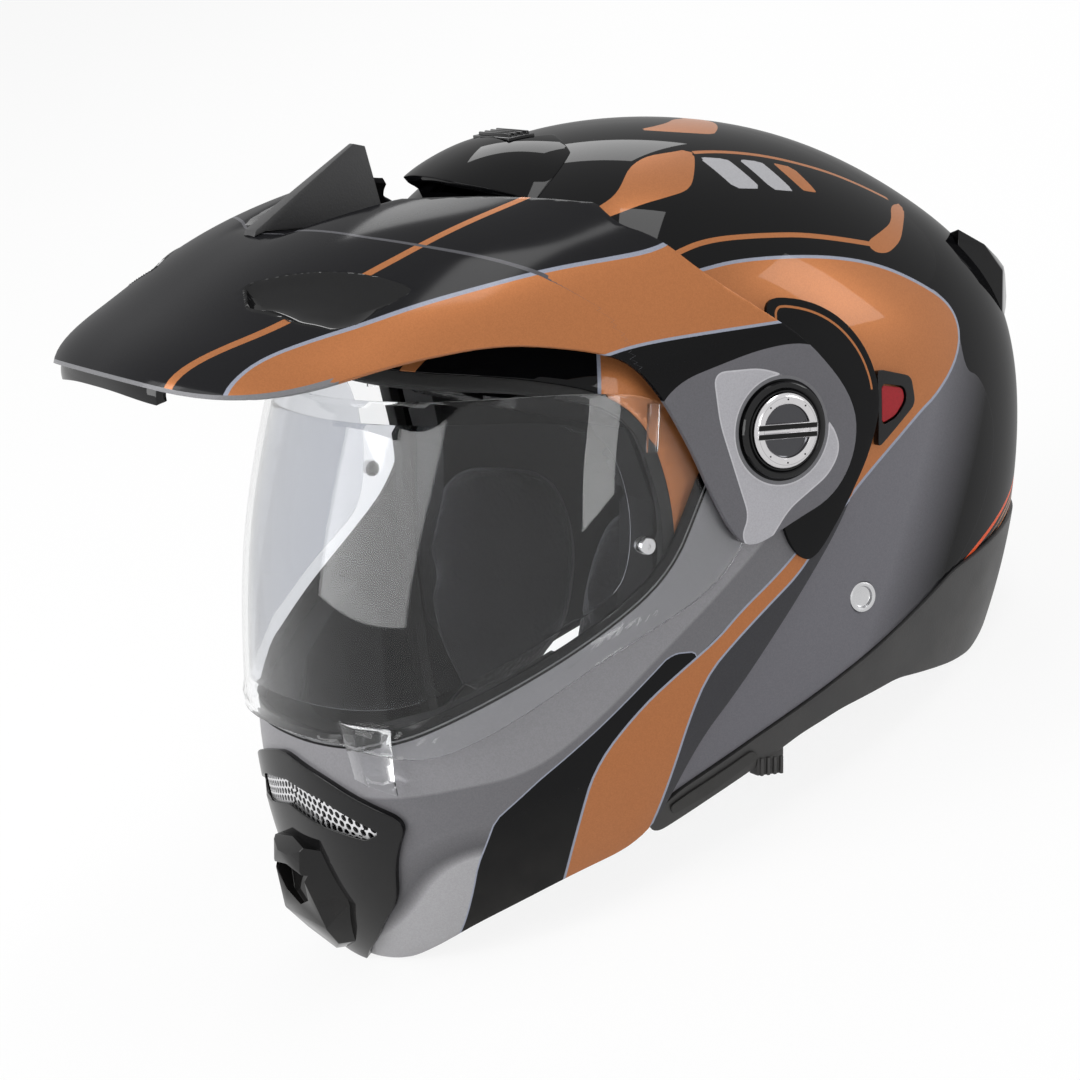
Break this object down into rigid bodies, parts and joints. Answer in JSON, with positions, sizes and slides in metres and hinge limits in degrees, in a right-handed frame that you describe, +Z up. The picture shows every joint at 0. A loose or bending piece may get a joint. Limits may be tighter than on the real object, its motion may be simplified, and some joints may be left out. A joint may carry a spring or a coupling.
{
  "type": "dual sport helmet",
  "caption": "Full-face riding helmet with a lift-up chin bar, clear visor, long peak, drop-down sun visor, vents and padded lining, stood on its lower edge.",
  "frame": {"origin": "middle of the box, on the ground that the lower edge stands on", "axes": "+Z up as it stands, -Y forwards to the peak, +X to the wearer's left; the halves mirror across X=0"},
  "size_m": [0.2636, 0.3872, 0.2935],
  "materials": {
    "shell_paint": "gloss paint with stripes on moulded shell",
    "chin_paint": "gloss paint with stripes on moulded chin bar",
    "peak_paint": "satin paint with stripes",
    "black_gloss": "gloss black",
    "black_matt": "fine moulded grain",
    "soft_black": "soft moulded rubber",
    "clear": "clear hard-coated polycarbonate",
    "smoke": "smoke-tinted polycarbonate",
    "chrome": "bright plated",
    "signal_red": "gloss red",
    "steel": "satin",
    "mesh_steel": "pierced and bright",
    "webbing": "woven",
    "pad_cloth": "brushed lining cloth",
    "foam": "moulded bead foam"
  },
  "bodies": {
    "helmet": {"outer_shell": "shell_paint", "eye_port_seal": "soft_black", "edge_trim": "black_matt", "edge_pads": "soft_black", "impact_liner": "foam", "sun_pins": "steel", "crown_pad": "pad_cloth", "neck_roll": "pad_cloth", "top_vent": "shell_paint", "rear_spoiler": "shell_paint", "lock_frame": "black_gloss", "strap_rivets": "steel", "strap_left": "webbing", "strap_right": "webbing", "buckle_body": "black_matt", "buckle_tongue": "signal_red", "hinge_bases": "black_matt", "cheek_pad_left": "pad_cloth", "cheek_pad_right": "pad_cloth"},
    "chin_assembly": {"chin_bar": "chin_paint", "chin_liner": "foam", "mouth_trim": "black_matt", "mouth_mesh": "mesh_steel", "chin_vent": "black_matt", "peak": "peak_paint", "wing_vents": "black_matt", "peak_rail": "black_matt", "peak_fin": "black_matt", "visor_studs": "steel", "pivot_cover_left": "peak_paint", "pivot_cover_right": "peak_paint", "peak_mounts": "black_matt", "knob_bezels": "black_gloss"},
    "visor_assembly": {"visor": "clear", "visor_tab": "black_matt", "visor_ridges": "black_matt", "fog_insert": "clear", "fog_pins": "clear"},
    "sun_visor": {"sun_visor": "smoke"},
    "sun_lever": {"sun_lever": "black_matt"},
    "vent_slider": {"vent_slider": "black_gloss"},
    "lock_button": {"lock_button": "signal_red"},
    "mouth_shutter": {"mouth_shutter": "black_matt"},
    "release_button": {"release_button": "black_matt"},
    "knob_left": {"knob_left": "chrome"},
    "knob_right": {"knob_right": "chrome"},
    "buckle_lever": {"buckle_lever": "black_matt"}
  },
  "joints": [
    {"name": "chin_bar_lift", "type": "hinge", "parent": "helmet", "child": "chin_assembly", "pos_m": [0, 0.01562, 0.15], "axis": [-1, 0, 0], "range_deg": [0, 50]},
    {"name": "visor_lift", "type": "hinge", "parent": "chin_assembly", "child": "visor_assembly", "pos_m": [0, -0.01303, 0.13976], "axis": [-1, 0, 0], "range_deg": [0, 34]},
    {"name": "sun_visor_drop", "type": "hinge", "parent": "helmet", "child": "sun_visor", "pos_m": [0, 0.01562, 0.15], "axis": [1, 0, 0], "range_deg": [0, 36]},
    {"name": "sun_lever_slide", "type": "slide", "parent": "helmet", "child": "sun_lever", "axis": [0, 0.9135, -0.4067], "range_m": [0, 0.02]},
    {"name": "vent_slider_slide", "type": "slide", "parent": "helmet", "child": "vent_slider", "axis": [0, 0.9659, -0.2588], "range_m": [0, 0.009]},
    {"name": "lock_button_press", "type": "slide", "parent": "helmet", "child": "lock_button", "axis": [-1, 0, 0], "range_m": [0, 0.0012], "stiffness_N_per_m": 400},
    {"name": "mouth_shutter_slide", "type": "slide", "parent": "chin_assembly", "child": "mouth_shutter", "axis": [0, 0.4067, 0.9135], "range_m": [0, 0.009]},
    {"name": "release_button_press", "type": "slide", "parent": "chin_assembly", "child": "release_button", "axis": [0, 0.4067, 0.9135], "range_m": [0, 0.004], "stiffness_N_per_m": 400},
    {"name": "knob_left_turn", "type": "hinge", "parent": "chin_assembly", "child": "knob_left", "pos_m": [0, 0.01562, 0.15], "axis": [1, 0, 0], "range_deg": [0, 90]},
    {"name": "knob_right_turn", "type": "hinge", "parent": "chin_assembly", "child": "knob_right", "pos_m": [0, 0.01562, 0.15], "axis": [-1, 0, 0], "range_deg": [0, 90]},
    {"name": "buckle_lever_lift", "type": "hinge", "parent": "helmet", "child": "buckle_lever", "pos_m": [0.012, 0.00766, 0.01167], "axis": [0, -0.9135, 0.4067], "range_deg": [0, 50], "stiffness_Nm_per_rad": 0.05}
  ],
  "couplings": [
    {"joint": "sun_lever_slide", "follows": "sun_visor_drop", "m_per_rad": 0.03183}
  ]
}
